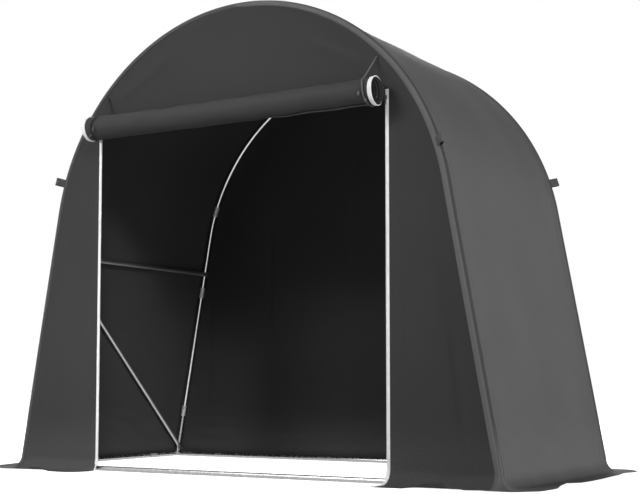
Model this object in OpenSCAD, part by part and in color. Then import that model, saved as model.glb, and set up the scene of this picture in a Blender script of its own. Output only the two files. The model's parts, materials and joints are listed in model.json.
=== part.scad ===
// Arched fabric bike shelter: a bolted tube frame of two bows under a stretched cover,
// with a doorway in the front whose leaf is rolled up and tied above it.
// Millimetres. X runs along the width, Y from the front to the back, Z up from the ground.

/* [Frame] */
// Distance between the leg centrelines where they reach the ground
foot_span = 2150; // [1900:5:2400]
// Distance between the front and the rear bow
bow_spacing = 1030; // [800:1:1300]
// Height of the bow centreline above the ground
apex_h = 1786; // [1650:1:1850]
// Angle that the straight legs lean inwards
leg_lean = 10.5; // [8:0.1:14]
// Outer diameter of the main tubes
tube_d = 19; // [16:0.5:22]
// Wall of the main tubes
tube_wall = 1; // [0.8:0.1:1.5]

/* [Tube joints] */
// Length up the leg from the ground to the corner joint
corner_joint_s = 223; // [180:1:280]
// Length up the leg from the ground to the leg joint
leg_joint_s = 804; // [700:1:840]
// Angle above the horizontal at which the knee tube meets the bow
bow_joint_angle = 18.9; // [16:0.1:24]
// Length of the corner piece's arm along the side
side_arm_len = 185; // [150:1:240]
// Length of the corner piece's arm along the front or back
cross_arm_len = 40; // [30:1:60]
// Height of the weld bead round the corner
weld_h = 0.6; // [0.3:0.1:1]
// Length of the corner piece's spigot inside the cross tube
spigot_len = 60; // [40:1:90]
// How much the bent part of a knee is thicker and its bore narrower than the straight part
bend_swell = 0.05; // [0.03:0.01:0.1]
// Length of a joint sleeve
sleeve_len = 48; // [36:1:60]
// Wall of a joint sleeve between its collars
sleeve_wall = 2; // [1.5:0.1:2.5]
// Height of a sleeve's end collars above its body
collar_h = 0.5; // [0.3:0.1:0.8]
// Length of a sleeve's end collar
collar_len = 6; // [4:0.5:9]

/* [Rails and braces] */
// Length up the leg to the bolt that holds the side rail and the brace
rail_s = 895; // [860:1:960]
// Length up the leg to the brace's lower bolt
brace_foot_s = 42; // [40:1:120]
// Outer diameter of the rails and braces
strut_d = 16; // [12:0.5:18]
// Thickness of a flattened strut end
tab_t = 3; // [2:0.5:4]
// Width of a flattened strut end
tab_w = 20; // [16:0.5:24]
// Length of the flat from the bolt to the start of the round
tab_len = 16; // [14:1:24]
// Length over which the flat turns round
flatten_len = 24; // [16:1:36]
// Diameter of the bolts
bolt_d = 5; // [4:0.5:6]
// Diameter of the wing nut's hub
nut_d = 12; // [10:0.5:14]
// Height of the wing nut's hub
nut_h = 8; // [6:0.5:10]
// Distance across the wings of the nut
wing_span = 28; // [24:1:34]

/* [Cover] */
// Thickness of the cover
cover_t = 1.5; // [1:0.1:2.5]
// Radius with which a wall turns out along the ground
flare_r = 58; // [40:1:70]
// Width of the flap on the ground, from the wall outwards
flap_w = 125; // [100:1:170]

/* [Door] */
// Clear width of the doorway
door_w = 1320; // [1100:5:1360]
// Height of the doorway's upper edge
door_h = 1390; // [1300:1:1420]
// Height of the rolled leaf's axis
roll_z = 1372; // [1280:1:1400]
// Outer radius of the rolled leaf
roll_r = 47; // [42:0.5:52]
// How far the head of a zip stops short of the doorway's upper edge
zip_head_gap = 8; // [5:1:15]
// How far below the doorway's upper edge the sliders hang
slider_drop = 45; // [40:1:70]
// Width of a slider
slider_w = 10; // [8:0.5:12]
// Height of a slider
slider_h = 14; // [10:0.5:18]
// Thickness of a slider
slider_t = 3; // [2:0.5:4]
// Length of a slider's pull
pull_len = 24; // [16:1:30]
// Width of a slider's pull
pull_w = 6; // [4:0.5:8]
// Thickness of a slider's pull
pull_t = 1.5; // [1:0.1:2]
// Gap between the zips and the rolled leaf
roll_gap = 6; // [5:0.5:10]
// How far inside the doorway's edge the roll ends
roll_inset = 7; // [4:1:20]
// Turns of cloth in the roll
roll_turns = 5; // [4:1:6]
// Distance from one turn to the next
roll_pitch = 2.3; // [2:0.1:2.6]
// Width of a zip tape
zip_w = 12; // [10:0.5:18]
// Thickness of a zip tape
zip_t = 1.2; // [0.8:0.1:1.6]
// Width of the zip's row of teeth
teeth_w = 4; // [3:0.5:5]
// Length of the zip along the flap, past its bend
zip_flap_len = 20; // [10:1:40]
// Width of the zip tape on the end of the roll
rolled_zip_w = 22; // [16:1:28]
// How much the rolled zip stands above the rolled cloth
rolled_zip_rise = 3; // [2:0.5:4]
// How far inside the doorway's edge each tie goes round the roll
tie_inset = 75; // [60:1:180]
// Width of a tie
tie_w = 8; // [5:0.5:14]
// Thickness of a tie
tie_t = 1.2; // [0.8:0.1:1.6]
// How far inside the doorway's edge a tie's upper end is sewn on
tie_top_inset = 32; // [26:1:60]
// How far a tie's upper end lies below the bow's centreline
tie_drop = 43; // [38:1:60]
// Length of a tie's toggle
toggle_len = 28; // [20:1:36]
// Diameter of a tie's toggle
toggle_d = 8; // [6:0.5:10]

/* [Guy loops] */
// Angle above the horizontal at which the loops sit on the bow
loop_angle = 18.9; // [15:0.1:26]
// Width of the loop's webbing
loop_w = 32; // [25:1:38]
// How far a loop stands out from the cover
loop_len = 48; // [36:1:60]
// Thickness of the loop's webbing
loop_t = 2; // [1.5:0.1:2.5]
// Clear gap inside a loop
loop_gap = 11; // [7:0.5:12]

/* [Hidden] */
$fn = 48;
eps = 0.01;
big = 3000;
seat = 0.3;

tube_r = tube_d / 2;
foot_x = foot_span / 2;
front_y = -bow_spacing / 2;

// The bow is one arc, tangent to both straight legs
arc_half = 90 - leg_lean;
arc_ratio = sin(arc_half) / (1 - cos(arc_half));
tangent_z = (arc_ratio * apex_h - foot_x) / (arc_ratio - tan(leg_lean));
bow_r = (apex_h - tangent_z) / (1 - cos(arc_half));
bow_z = apex_h - bow_r;
tangent_s = tangent_z / cos(leg_lean);
function leg_x(z) = foot_x - z * tan(leg_lean);

// Corner pieces: their arms meet on the tube centrelines
corner_z = tube_r + weld_h;
corner_x = leg_x(corner_z);
spigot_fit = 0.2;
bore_d = tube_d - 2 * tube_wall;

// Joint sleeves slip over the tubes
sleeve_fit = 0.15;
sleeve_ri = tube_r + sleeve_fit;
sleeve_ro = sleeve_ri + sleeve_wall;
collar_r = sleeve_ro + collar_h;

// The cover rests on the sleeve collars and wraps both bows
hem_ri = collar_r + seat;
hem_ro = hem_ri + cover_t;
flare_top = flare_r + cover_t;
flap_x = leg_x(flare_top) + hem_ri;
wall_y = front_y - hem_ri;

// Struts lie on the inside of the bows
strut_seat = tube_r + tab_t / 2;
brace_seat = strut_seat + tab_t;
brace_rise = rail_s - brace_foot_s;
brace_len = sqrt(bow_spacing * bow_spacing + brace_rise * brace_rise);
brace_angle = atan2(bow_spacing, brace_rise);
bolt_fit = 0.2;
head_h = 1.6;
head_d = bolt_d * 1.7;

// The rolled leaf hangs before the wall from its upper edge
half_door = door_w / 2;
roll_line_r = roll_r - cover_t / 2;
rolled_zip_r = roll_r + rolled_zip_rise;
roll_y = wall_y - cover_t - zip_t - roll_gap - rolled_zip_r;
leaf_top = [wall_y - cover_t / 2, door_h - seat * 2];
leaf_run = leaf_top - [roll_y, roll_z];
leaf_far = norm(leaf_run);
leaf_off = atan2(leaf_run[1], leaf_run[0]) - acos(roll_line_r / leaf_far);
tie_x = half_door - tie_inset;
tie_top_x = half_door - tie_top_inset;
tie_top_z = bow_z + sqrt(bow_r * bow_r - tie_top_x * tie_top_x) - tie_drop;
roll_half = half_door - roll_inset - rolled_zip_w;

// Carries its children, drawn for the right side, to the left side where side is -1
module on_side(side) {
    mirror([side < 0 ? 1 : 0, 0, 0]) children();
}

// Carries its children, drawn for the front, to the back where row is 1
module on_row(row) {
    mirror([0, row > 0 ? 1 : 0, 0]) children();
}

// Frame at a point up the right leg: X outwards, Y along the side, Z up the leg
module at_leg(s) {
    translate([foot_x, 0, 0]) rotate([0, -leg_lean, 0]) translate([0, 0, s]) children();
}

// Frame at a point on the bow: X outwards, Z along the bow
module at_bow(angle) {
    translate([0, 0, bow_z]) rotate([0, -angle, 0]) translate([bow_r, 0, 0]) children();
}

// Sweeps a section (outwards, along the side) up the right leg
module leg_sweep(s1, s2) {
    at_leg(s1) linear_extrude(s2 - s1) children();
}

// Sweeps a section (outwards, along the side) round the bow
module bow_sweep(a1, a2) {
    translate([0, 0, bow_z]) rotate([90, 0, 0]) rotate([0, 0, a1])
        rotate_extrude(angle = a2 - a1, $fn = 180) translate([bow_r, 0]) mirror([0, 1]) children();
}

module ring(ro, ri) {
    difference() {
        circle(r = ro);
        circle(r = ri);
    }
}

module tube_ring(y) {
    translate([0, y]) ring(tube_r, tube_r - tube_wall);
}

// Straight tube along Z
module tube(len) {
    linear_extrude(len) ring(tube_r, tube_r - tube_wall);
}

// Hole across a leg for a strut's bolt
module leg_bolt_hole(s) {
    at_leg(s) translate([0, front_y, 0]) rotate([0, 90, 0])
        cylinder(d = bolt_d + 2 * bolt_fit, h = 4 * tube_d, center = true);
}

// Three-way corner piece, drawn at the front right
module corner() {
    color("gainsboro") difference() {
        union() {
            translate([corner_x, front_y, corner_z]) sphere(r = tube_r + weld_h);
            translate([0, front_y, 0]) leg_sweep(corner_z / cos(leg_lean), corner_joint_s) circle(r = tube_r);
            translate([corner_x, front_y, corner_z]) rotate([-90, 0, 0])
                cylinder(r = tube_r, h = side_arm_len);
            translate([corner_x, front_y, corner_z]) rotate([0, -90, 0])
                cylinder(r = tube_r, h = cross_arm_len);
            translate([corner_x, front_y, corner_z]) rotate([0, -90, 0])
                cylinder(d = bore_d - 2 * spigot_fit, h = cross_arm_len + spigot_len);
        }
        translate([0, front_y, 0]) leg_sweep(2 * tube_d, corner_joint_s + 1) circle(d = bore_d);
        translate([corner_x, front_y + 2 * tube_d, corner_z]) rotate([-90, 0, 0])
            cylinder(d = bore_d, h = side_arm_len);
        leg_bolt_hole(brace_foot_s);
    }
}

// Straight lower leg tube, at the front right
module leg() {
    color("gainsboro") leg_sweep(corner_joint_s, leg_joint_s) tube_ring(front_y);
}

// Upper leg tube that bends into the bow, at the front right
module knee() {
    color("gainsboro") difference() {
        union() {
            leg_sweep(leg_joint_s, tangent_s + tube_wall / 2) tube_ring(front_y);
            bow_sweep(leg_lean, bow_joint_angle) translate([0, front_y])
                ring(tube_r + bend_swell, tube_r - tube_wall - bend_swell);
        }
        leg_bolt_hole(rail_s);
    }
}

// Bow over the top, at the front
module bow() {
    color("gainsboro") difference() {
        bow_sweep(bow_joint_angle, 180 - bow_joint_angle) tube_ring(front_y);
        translate([0, front_y, apex_h]) cylinder(d = bolt_d + 2 * bolt_fit, h = 4 * tube_d, center = true);
    }
}

// Tube on the ground across the front
module sill() {
    sill_half = corner_x - cross_arm_len;
    color("gainsboro") translate([-sill_half, front_y, corner_z]) rotate([0, 90, 0]) tube(2 * sill_half);
}

// Tube on the ground along the right side
module base_rail() {
    rail_half = bow_spacing / 2 - side_arm_len;
    color("gainsboro") translate([corner_x, -rail_half, corner_z]) rotate([-90, 0, 0]) tube(2 * rail_half);
}

// Rod along Z with both ends flattened across X and drilled, its bolts at 0 and len
module strut(len) {
    round_z = tab_len + flatten_len;
    color("silver") {
        translate([0, 0, round_z]) cylinder(d = strut_d, h = len - 2 * round_z);
        for (end = [0, 1]) translate([0, 0, end * len]) mirror([0, 0, end]) {
            hull() {
                translate([0, 0, tab_len]) cube([tab_t, tab_w, eps], center = true);
                translate([0, 0, round_z]) cylinder(d = strut_d, h = eps, $fn = 32);
            }
            difference() {
                union() {
                    translate([-tab_t / 2, -tab_w / 2, 0]) cube([tab_t, tab_w, tab_len]);
                    rotate([0, 90, 0]) cylinder(d = tab_w, h = tab_t, center = true);
                }
                rotate([0, 90, 0]) cylinder(d = bolt_d + 2 * bolt_fit, h = 4 * tab_t, center = true);
            }
        }
    }
}

// Rail along the right side at half height
module side_rail() {
    at_leg(rail_s) translate([-strut_seat, front_y, 0]) rotate([-90, 0, 0]) strut(bow_spacing);
}

// Brace on the right side, from the rear foot up to the front end of the side rail
module brace() {
    at_leg(brace_foot_s) translate([-brace_seat, -front_y, 0]) rotate([brace_angle, 0, 0]) strut(brace_len);
}

// Rail under the ridge
module ridge() {
    translate([0, front_y, apex_h - strut_seat]) rotate([-90, 0, 0]) rotate([0, 0, 90]) strut(bow_spacing);
}

// Joint sleeves at the front: the body is turned down between two end collars
module leg_sleeve(s) {
    half = sleeve_len / 2;
    difference() {
        leg_sweep(s - half, s + half) translate([0, front_y]) ring(collar_r, sleeve_ri);
        leg_sweep(s - half + collar_len, s + half - collar_len) translate([0, front_y])
            ring(collar_r + 1, sleeve_ro);
    }
}

module bow_sleeve(angle) {
    half = sleeve_len / 2 / bow_r * 180 / PI;
    collar = collar_len / bow_r * 180 / PI;
    difference() {
        bow_sweep(angle - half, angle + half) translate([0, front_y]) ring(collar_r, sleeve_ri);
        bow_sweep(angle - half + collar, angle + half - collar) translate([0, front_y])
            ring(collar_r + 1, sleeve_ro);
    }
}

// Joint sleeves of one bow, at the front
module bow_sleeves() {
    color("darkgray") for (side = [-1, 1]) on_side(side) {
        leg_sleeve(corner_joint_s);
        leg_sleeve(leg_joint_s);
        bow_sleeve(bow_joint_angle);
    }
}

// Joint sleeves of the side tubes on the ground
module base_sleeves() {
    color("darkgray") for (side = [-1, 1], row = [0, 1]) on_side(side) on_row(row)
        translate([corner_x, front_y + side_arm_len - sleeve_len / 2, corner_z]) rotate([-90, 0, 0]) {
            linear_extrude(sleeve_len) ring(tube_r + sleeve_fit + sleeve_wall / 2, sleeve_ri);
        }
}

// Bolt along X through a tube at the origin, its nut side towards -X, with a spacer if the strut stands off
module bolt(grip, spacer) {
    rotate([0, -90, 0]) {
        translate([0, 0, -tube_r - head_h]) cylinder(d = bolt_d, h = 2 * tube_r + grip + head_h + nut_h + 1);
        translate([0, 0, -tube_r - head_h]) cylinder(d1 = bolt_d, d2 = head_d, h = head_h);
        if (spacer > 0) translate([0, 0, tube_r]) cylinder(d = nut_d, h = spacer - seat / 2);
    }
}

// Wing nut whose hub starts at the origin and runs towards -X
module wing_nut() {
    rotate([0, -90, 0]) difference() {
        union() {
            cylinder(d = nut_d, h = nut_h);
            for (wing = [0, 1]) mirror([wing, 0, 0]) intersection() {
                translate([0, -1.5, 1]) cube([wing_span / 2, 3, nut_h + 2]);
                rotate([90, 0, 0]) translate([wing_span / 4, nut_h / 2, 0])
                    cylinder(r = wing_span / 4, h = nut_d, center = true);
            }
        }
        translate([0, 0, -1]) cylinder(d = bolt_d + 2 * bolt_fit, h = 2 * nut_h);
    }
}

// Places children, drawn on a tube at the origin with X outwards, at every bolt: 0 is the grip, 1 the spacer
module at_bolts(part) {
    for (side = [-1, 1]) on_side(side) {
        at_leg(rail_s) translate([0, front_y, 0]) bolt_part(part, 2 * tab_t, 0);
        at_leg(rail_s) translate([0, -front_y, 0]) bolt_part(part, tab_t, 0);
        at_leg(brace_foot_s) translate([0, -front_y, 0]) bolt_part(part, 2 * tab_t, tab_t);
    }
    for (y = [front_y, -front_y]) translate([0, y, apex_h]) rotate([0, -90, 0]) bolt_part(part, tab_t, 0);
}

module bolt_part(part, grip, spacer) {
    if (part == "bolt") color("silver") bolt(grip, spacer);
    if (part == "nut") color("#222222") translate([-tube_r - grip - seat / 2, 0, 0]) wing_nut();
}

// Section of the cover from bow to bow, with a hem that turns over each tube
module cover_section() {
    for (end = [0, 1]) mirror([0, end]) translate([0, front_y]) intersection() {
        ring(hem_ro, hem_ri);
        translate([0, -2 * hem_ro]) square(2 * hem_ro);
    }
    translate([hem_ri, front_y]) square([cover_t, bow_spacing]);
}

// Section of the flap: it turns out from a wall at 0 and runs along the ground
module flap_section(width) {
    translate([flare_top, flare_top]) intersection() {
        ring(flare_r + cover_t, flare_r);
        translate([-flare_top, -flare_top]) square(flare_top);
    }
    translate([flare_top, 0]) square([width - flare_top, cover_t]);
}

// Straight part of the right side wall, down to the seam of its flap
module side_cover() {
    color("#45454a") difference() {
        leg_sweep(0, tangent_s) cover_section();
        translate([0, -big / 2, flare_top - big]) cube(big);
    }
}

// Flap of the right side wall with its two rounded corners
module side_flap() {
    color("#3f3f43") {
        translate([flap_x, 0, 0]) rotate([90, 0, 0])
            linear_extrude(bow_spacing, center = true) flap_section(flap_w);
        for (row = [0, 1]) on_row(row) translate([leg_x(flare_top), front_y, 0]) rotate([0, 0, -90])
            rotate_extrude(angle = 90) translate([hem_ri, 0]) flap_section(flap_w);
    }
}

// Curved top of the cover
module roof_cover() {
    color("#4d4d52") bow_sweep(leg_lean, 180 - leg_lean) cover_section();
}

// Outline of an end wall, up to the bow's centreline
module wall_outline() {
    translate([0, bow_z]) intersection() {
        circle(r = bow_r, $fn = 180);
        translate([-big, bow_r * sin(leg_lean)]) square([2 * big, big]);
    }
    polygon([
        [-leg_x(flare_top), 0], [leg_x(flare_top), 0], [leg_x(flare_top), flare_top],
        [leg_x(tangent_z), tangent_z], [0, apex_h - foot_x / 4],
        [-leg_x(tangent_z), tangent_z], [-leg_x(flare_top), flare_top]
    ]);
}

// End wall with its flap, full width, at the front, between two heights
module end_wall(x1, x2, z1, z2) {
    intersection() {
        translate([x1, wall_y, 0]) rotate([90, 0, -90]) mirror([0, 0, 1]) linear_extrude(x2 - x1) {
            flap_section(flap_w);
            translate([0, flare_top]) square([cover_t, big]);
        }
        rotate([90, 0, 0]) linear_extrude(2 * big, center = true) intersection() {
            wall_outline();
            translate([x1, z1]) square([x2 - x1, z2 - z1]);
        }
    }
}

module front_panel(side) {
    color("#37373a") on_side(side) end_wall(half_door, foot_x, 0, door_h);
}

module front_panel_top() {
    color("#3a3a3d") end_wall(-foot_x, foot_x, door_h, 2 * apex_h);
}

module rear_panel() {
    color("#37373a") on_row(1) end_wall(-foot_x, foot_x, 0, 2 * apex_h);
}

// Points of the rolled leaf's centreline in (Y, Z), from its upper edge into the roll
roll_steps = 24;
leaf_line = concat(
    [leaf_top],
    [for (i = [0:roll_turns * roll_steps])
        let (turn = i / roll_steps, r = roll_line_r - roll_pitch * turn, a = leaf_off - 360 * turn)
        [roll_y + r * cos(a), roll_z + r * sin(a)]]
);
leaf_normal = concat(
    [[cos(leaf_off), sin(leaf_off)]],
    [for (i = [0:roll_turns * roll_steps]) let (a = leaf_off - 360 * i / roll_steps) [cos(a), sin(a)]]
);

module leaf_section() {
    last = len(leaf_line) - 1;
    polygon(concat(
        [for (i = [0:last]) leaf_line[i] + leaf_normal[i] * cover_t / 2],
        [for (i = [last:-1:0]) leaf_line[i] - leaf_normal[i] * cover_t / 2]
    ));
}

// Stands a (Y, Z) section up along X, centred on x
module along_x(x, len) {
    translate([x - len / 2, 0, 0]) rotate([90, 0, 90]) linear_extrude(len) children();
}

module rolled_door() {
    color("#414145") along_x(0, 2 * roll_half) leaf_section();
}

// Turns of white zip tape on the ends of the roll, as a coil of their own
module rolled_zips() {
    outer = rolled_zip_r;
    tape_t = roll_pitch * 0.8;
    steps = [0:roll_turns * roll_steps];
    color("white") for (side = [-1, 1])
        along_x(side * (roll_half + rolled_zip_w / 2), rolled_zip_w) translate([roll_y, roll_z])
        polygon(concat(
            [for (i = steps)
                let (r = outer - roll_pitch * i / roll_steps, a = leaf_off - 360 * i / roll_steps)
                [r * cos(a), r * sin(a)]],
            [for (i = [roll_turns * roll_steps:-1:0])
                let (r = outer - tape_t - roll_pitch * i / roll_steps, a = leaf_off - 360 * i / roll_steps)
                [r * cos(a), r * sin(a)]]
        ));
}

// Band that follows the front wall and its flap, from one distance before the wall's back to another
module wall_band(from, to, top) {
    translate([flare_top, flare_top]) intersection() {
        ring(flare_top - from, flare_top - to);
        translate([-flare_top, -flare_top]) square(flare_top);
    }
    translate([from, flare_top]) square([to - from, top - flare_top]);
    translate([flare_top, from]) square([zip_flap_len, to - from]);
}

// Fixed half of a zip: a tape on the wall's face and a row of teeth past its edge
module zip(side) {
    zip_top = door_h - zip_head_gap;
    color("whitesmoke") on_side(side) {
        translate([half_door - teeth_w, wall_y, 0]) rotate([90, 0, -90]) mirror([0, 0, 1]) {
            linear_extrude(zip_w + teeth_w) wall_band(cover_t, cover_t + zip_t, zip_top);
            linear_extrude(teeth_w - seat) wall_band(cover_t - 1, cover_t + zip_t + 0.8, zip_top);
        }
    }
}

// Sliders at the head of both zips, each with its pull
module zip_sliders() {
    slider_z = door_h - slider_drop;
    slider_y = wall_y - cover_t - zip_t - 0.8 - seat;
    color("gray") for (side = [-1, 1]) on_side(side)
    translate([half_door - teeth_w / 2, slider_y, slider_z]) {
        translate([-slider_w / 2, -slider_t, 0]) cube([slider_w, slider_t, slider_h]);
        translate([0, -slider_t, slider_h * 0.3]) rotate([90, 0, 0]) difference() {
            union() {
                translate([-pull_w / 2, -pull_len, 0]) cube([pull_w, pull_len, pull_t]);
                cylinder(d = pull_w, h = pull_t);
            }
            translate([0, -pull_len * 0.83, -1]) cylinder(d = pull_w / 2, h = 2 * pull_t + 2);
        }
    }
}

// Ties: a band from the bow's hem down over the front of the roll and under it, held by a toggle
module roll_ties() {
    top_y = wall_y - cover_t - seat;
    tie_r = roll_r + seat;
    color("#29292b") for (side = [-1, 1]) on_side(side) {
        along_x(tie_x, tie_w) translate([roll_y, roll_z]) intersection() {
            ring(tie_r + tie_t, tie_r);
            polygon([[0, 0], [0, big], [-big, big], [-big, -big], [0, -big]]);
        }
        hull() {
            translate([tie_x - tie_w / 2, roll_y - 1, roll_z + tie_r]) cube([tie_w, 1, tie_t]);
            translate([tie_top_x - tie_w / 2, top_y - tie_t, tie_top_z]) cube([tie_w, tie_t, 3]);
        }
        translate([tie_x - toggle_len / 2, roll_y - tie_r - tie_t - 0.35 * toggle_d, roll_z - 1.5 * toggle_d])
            rotate([0, 90, 0]) cylinder(d = toggle_d, h = toggle_len);
    }
}

// Loop of webbing that stands out across the corner of a hem, drawn at the front right
module guy_loop() {
    loop_ro = loop_gap / 2 + loop_t;
    reach = hem_ro + loop_len - loop_ro;
    at_bow(loop_angle) translate([0, front_y, -loop_w / 2]) rotate([0, 0, -45]) linear_extrude(loop_w)
        difference() {
            union() {
                translate([0, -loop_ro]) square([reach, 2 * loop_ro]);
                translate([reach, 0]) circle(r = loop_ro);
            }
            translate([0, -loop_gap / 2]) square([reach, loop_gap]);
            translate([reach, 0]) circle(d = loop_gap);
            circle(r = hem_ro + seat / 3);
        }
}

module guy_loops() {
    color("#333336") for (side = [-1, 1], row = [0, 1]) on_side(side) on_row(row) guy_loop();
}

on_side(-1) corner();  // corner_front_left
corner();  // corner_front_right
on_side(-1) on_row(1) corner();  // corner_rear_left
on_row(1) corner();  // corner_rear_right
on_side(-1) leg();  // front_leg_left
leg();  // front_leg_right
on_side(-1) on_row(1) leg();  // rear_leg_left
on_row(1) leg();  // rear_leg_right
on_side(-1) knee();  // front_knee_left
knee();  // front_knee_right
on_side(-1) on_row(1) knee();  // rear_knee_left
on_row(1) knee();  // rear_knee_right
bow();  // front_bow
on_row(1) bow();  // rear_bow
sill();  // front_sill
on_row(1) sill();  // rear_sill
on_side(-1) base_rail();  // base_rail_left
base_rail();  // base_rail_right
on_side(-1) side_rail();  // side_rail_left
side_rail();  // side_rail_right
on_side(-1) brace();  // brace_left
brace();  // brace_right
ridge();  // ridge_rail
bow_sleeves();  // front_sleeves
on_row(1) bow_sleeves();  // rear_sleeves
base_sleeves();
at_bolts("bolt");  // frame_bolts
at_bolts("nut");  // wing_nuts
on_side(-1) side_cover();  // side_cover_left
side_cover();  // side_cover_right
roof_cover();
on_side(-1) side_flap();  // side_flap_left
side_flap();  // side_flap_right
front_panel(-1);  // front_panel_left
front_panel(1);  // front_panel_right
front_panel_top();
rear_panel();
rolled_door();
rolled_zips();
zip(-1);  // zip_left
zip(1);  // zip_right
zip_sliders();
roll_ties();
guy_loops();
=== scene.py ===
"""Bike shelter: an arched cover over a bolted tube frame, with its door leaf rolled up and tied.

The tubes, rods, sleeves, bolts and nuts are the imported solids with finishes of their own. The cover, the
end walls, the rolled leaf, its zips and ties and the guy loops are cloth made here, worked out on grids.
Metres: X to the right, Y from the front to the back, Z up from the ground.
"""

import json
import math

import bmesh
import bpy
import numpy as np
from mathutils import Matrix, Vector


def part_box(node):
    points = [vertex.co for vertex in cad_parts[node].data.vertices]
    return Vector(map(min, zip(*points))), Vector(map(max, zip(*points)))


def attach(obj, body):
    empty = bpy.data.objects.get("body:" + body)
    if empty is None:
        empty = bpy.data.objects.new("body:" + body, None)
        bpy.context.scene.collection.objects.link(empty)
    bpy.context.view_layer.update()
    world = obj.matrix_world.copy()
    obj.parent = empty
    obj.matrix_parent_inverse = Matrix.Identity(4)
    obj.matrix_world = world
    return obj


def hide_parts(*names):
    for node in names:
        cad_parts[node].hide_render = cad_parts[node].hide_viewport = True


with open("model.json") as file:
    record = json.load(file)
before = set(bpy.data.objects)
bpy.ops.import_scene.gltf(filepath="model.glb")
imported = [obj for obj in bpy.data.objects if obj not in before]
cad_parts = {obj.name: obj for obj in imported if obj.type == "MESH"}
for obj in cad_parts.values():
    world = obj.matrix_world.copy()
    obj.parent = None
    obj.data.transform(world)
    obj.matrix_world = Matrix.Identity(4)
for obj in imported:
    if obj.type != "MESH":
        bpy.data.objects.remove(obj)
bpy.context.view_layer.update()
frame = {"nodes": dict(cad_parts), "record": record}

# Frame sizes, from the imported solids
LEAN = math.radians(10.5)
TUBE_R = 0.0095
WELD = 0.0006
bow_low, bow_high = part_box("front_bow")
APEX = bow_high[2] - TUBE_R
FRONT = (bow_low[1] + bow_high[1]) / 2
BACK = -FRONT
DEPTH = BACK - FRONT
CORNER_R = TUBE_R + WELD
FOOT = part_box("corner_front_right")[1][0] - CORNER_R + CORNER_R * math.tan(LEAN)

# The bow is one arc, tangent to both leaning legs
ARC_HALF = math.pi / 2 - LEAN
ARC_RATIO = math.sin(ARC_HALF) / (1 - math.cos(ARC_HALF))
TANGENT_Z = (ARC_RATIO * APEX - FOOT) / (ARC_RATIO - math.tan(LEAN))
BOW_R = (APEX - TANGENT_Z) / (1 - math.cos(ARC_HALF))
BOW_Z = APEX - BOW_R
LEG_RUN = TANGENT_Z / math.cos(LEAN)
# Length of the arc, and of the whole bow from foot to foot
ARC_RUN = BOW_R * (math.pi - 2 * LEAN)
ARCH_RUN = 2 * LEG_RUN + ARC_RUN

# Points of one piece nearer than this are joined
SAME_POINT = 0.00005

# Cloth: its thickness, and how far the outer faces of the end walls and cover lie out from a bow's middle
CLOTH = 0.0012
WALL_OUT = 0.01395
COVER_OUT = WALL_OUT + CLOTH
# The walls turn out along the ground from this height down
FLARE = 0.052
FLARE_TOP = CLOTH + FLARE
SKIRT_X = FOOT - FLARE_TOP * math.tan(LEAN)
# Length round the outline of the feet, with what each corner takes up of it
CORNER_RUN = 0.12
OUTLINE = 4 * SKIRT_X + 2 * DEPTH + 4 * CORNER_RUN

# Doorway, roll and zips
DOOR_HALF = 0.66
DOOR_H = 1.39
ZIP_HEAD = DOOR_H - 0.008
# Each tape of a zip starts inside the doorway's edge and ends beside it
ZIP_IN = 0.0023
ZIP_OUT = 0.0080
ZIP_T = 0.0011
TEETH_W = 0.0046
TEETH_IN = 0.0012
TEETH_PITCH = 0.0030
TEETH = (TEETH_W + 0.0016, 0.0024, 0.0024)
TEETH_RISE = ZIP_T * 0.6
roll_low, roll_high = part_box("rolled_zips")
ROLL_Y = (roll_low[1] + roll_high[1]) / 2
ROLL_Z = (roll_low[2] + roll_high[2]) / 2
ROLL_END = roll_high[0]
ROLL_TAPE_W = 0.0135
ROLL_R = 0.0465
ROLL_TURNS = 5
ROLL_PITCH = 0.0038
TIE_X = 0.606

# Camera, in the photograph's frame of 640 by 494 pixels
FRAME_W = 640
FOCAL_PX = 1241.85
SHIFT_PX = 45
SENSOR_MM = 36
CAMERA_AT = (2.7099, -4.3268, 0.3398)
CAMERA_TURN = math.radians(31.48)
CAMERA_PITCH = math.radians(4.3148)


# Small tools for shapes


def ease(t):
    """Smooth step: 0 below 0, 1 above 1, and 3t^2 - 2t^3 between."""
    t = np.clip(t, 0, 1)
    return t * t * (3 - 2 * t)


def through(place, knots):
    """Value at each place, eased from one (place, value) knot to the next."""
    spots, values = np.array(knots, float).T
    place = np.asarray(place, float)
    step = np.clip(np.searchsorted(spots, place, side="right") - 1, 0, len(spots) - 2)
    share = (place - spots[step]) / (spots[step + 1] - spots[step])
    return values[step] + (values[step + 1] - values[step]) * ease(share)


def ripples(u, v, length, seed, count=9):
    """Sum of sine waves about one length long, in random directions and phases: about -1 to 1."""
    rng = np.random.default_rng(seed)
    total = np.zeros(np.broadcast(u, v).shape)
    for turn, phase, stretch in rng.uniform((0, 0, 0.7), (math.pi, 2 * math.pi, 1.5), (count, 3)):
        wave = 2 * math.pi / (length * stretch)
        total += np.sin(wave * (u * math.cos(turn) + v * math.sin(turn)) + phase)
    return total / math.sqrt(2 * count)


def fold(u, v, start, end, width):
    """Ridge along a line: a bell across it, steeper on its right, that fades in and out along it."""
    steep, fade = 0.45, 0.25
    run = np.subtract(end, start)
    length = math.hypot(*run)
    along = ((u - start[0]) * run[0] + (v - start[1]) * run[1]) / length ** 2
    across = ((u - start[0]) * run[1] - (v - start[1]) * run[0]) / length
    reach = np.where(across > 0, width * steep, width)
    return np.exp(-(across / reach) ** 2) * ease(along / fade) * ease((1 - along) / fade)


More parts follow.
